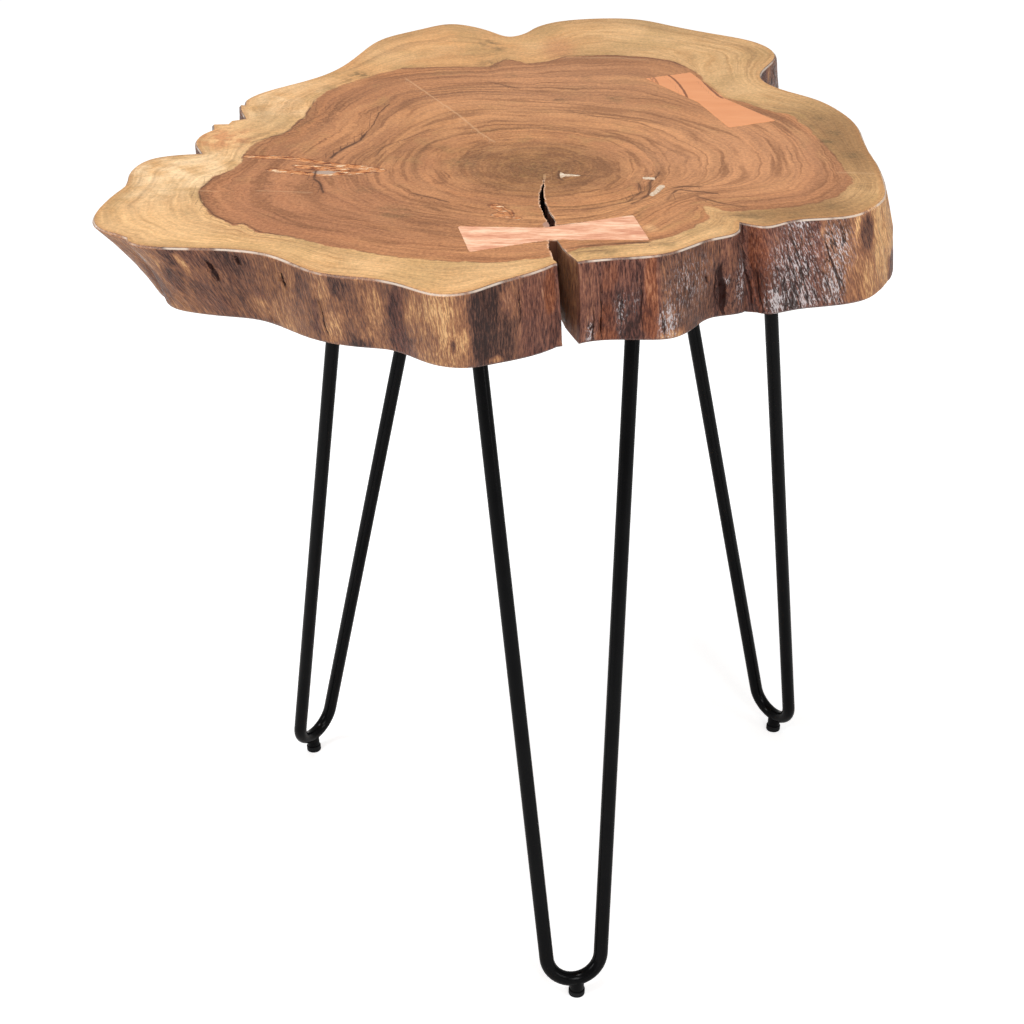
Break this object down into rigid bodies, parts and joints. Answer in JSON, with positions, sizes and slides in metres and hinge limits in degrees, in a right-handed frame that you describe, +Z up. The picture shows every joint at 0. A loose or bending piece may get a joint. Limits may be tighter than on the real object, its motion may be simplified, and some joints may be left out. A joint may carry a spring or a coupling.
{
  "type": "accent table",
  "caption": "Low accent table: a thick live-edge slice of tree trunk with inlaid butterfly keys on splayed black hairpin legs.",
  "frame": {"origin": "on the floor, under the middle of the table's bounding box", "axes": "+Z up, +Y away from the side with the drying check's mouth, +X to the right seen from that side"},
  "size_m": [0.4886, 0.5604, 0.559],
  "materials": {
    "slab_wood": "clear satin lacquer",
    "pale_key_wood": "clear satin lacquer",
    "orange_key_wood": "clear satin lacquer",
    "black_steel": "gloss black powder coat",
    "screw_steel": "blackened steel",
    "glide_plastic": "moulded black plastic"
  },
  "bodies": {
    "root": {"trunk_slab": "slab_wood", "butterfly_key_front": "pale_key_wood", "butterfly_key_rear": "orange_key_wood", "hairpin_rod_left": "black_steel", "mounting_plate_left": "black_steel", "wood_screws_left": "screw_steel", "weld_beads_left": "black_steel", "foot_stud_left": "black_steel", "glide_left": "glide_plastic", "hairpin_rod_front": "black_steel", "mounting_plate_front": "black_steel", "wood_screws_front": "screw_steel", "weld_beads_front": "black_steel", "foot_stud_front": "black_steel", "glide_front": "glide_plastic", "hairpin_rod_right": "black_steel", "mounting_plate_right": "black_steel", "wood_screws_right": "screw_steel", "weld_beads_right": "black_steel", "foot_stud_right": "black_steel", "glide_right": "glide_plastic"}
  },
  "joints": []
}
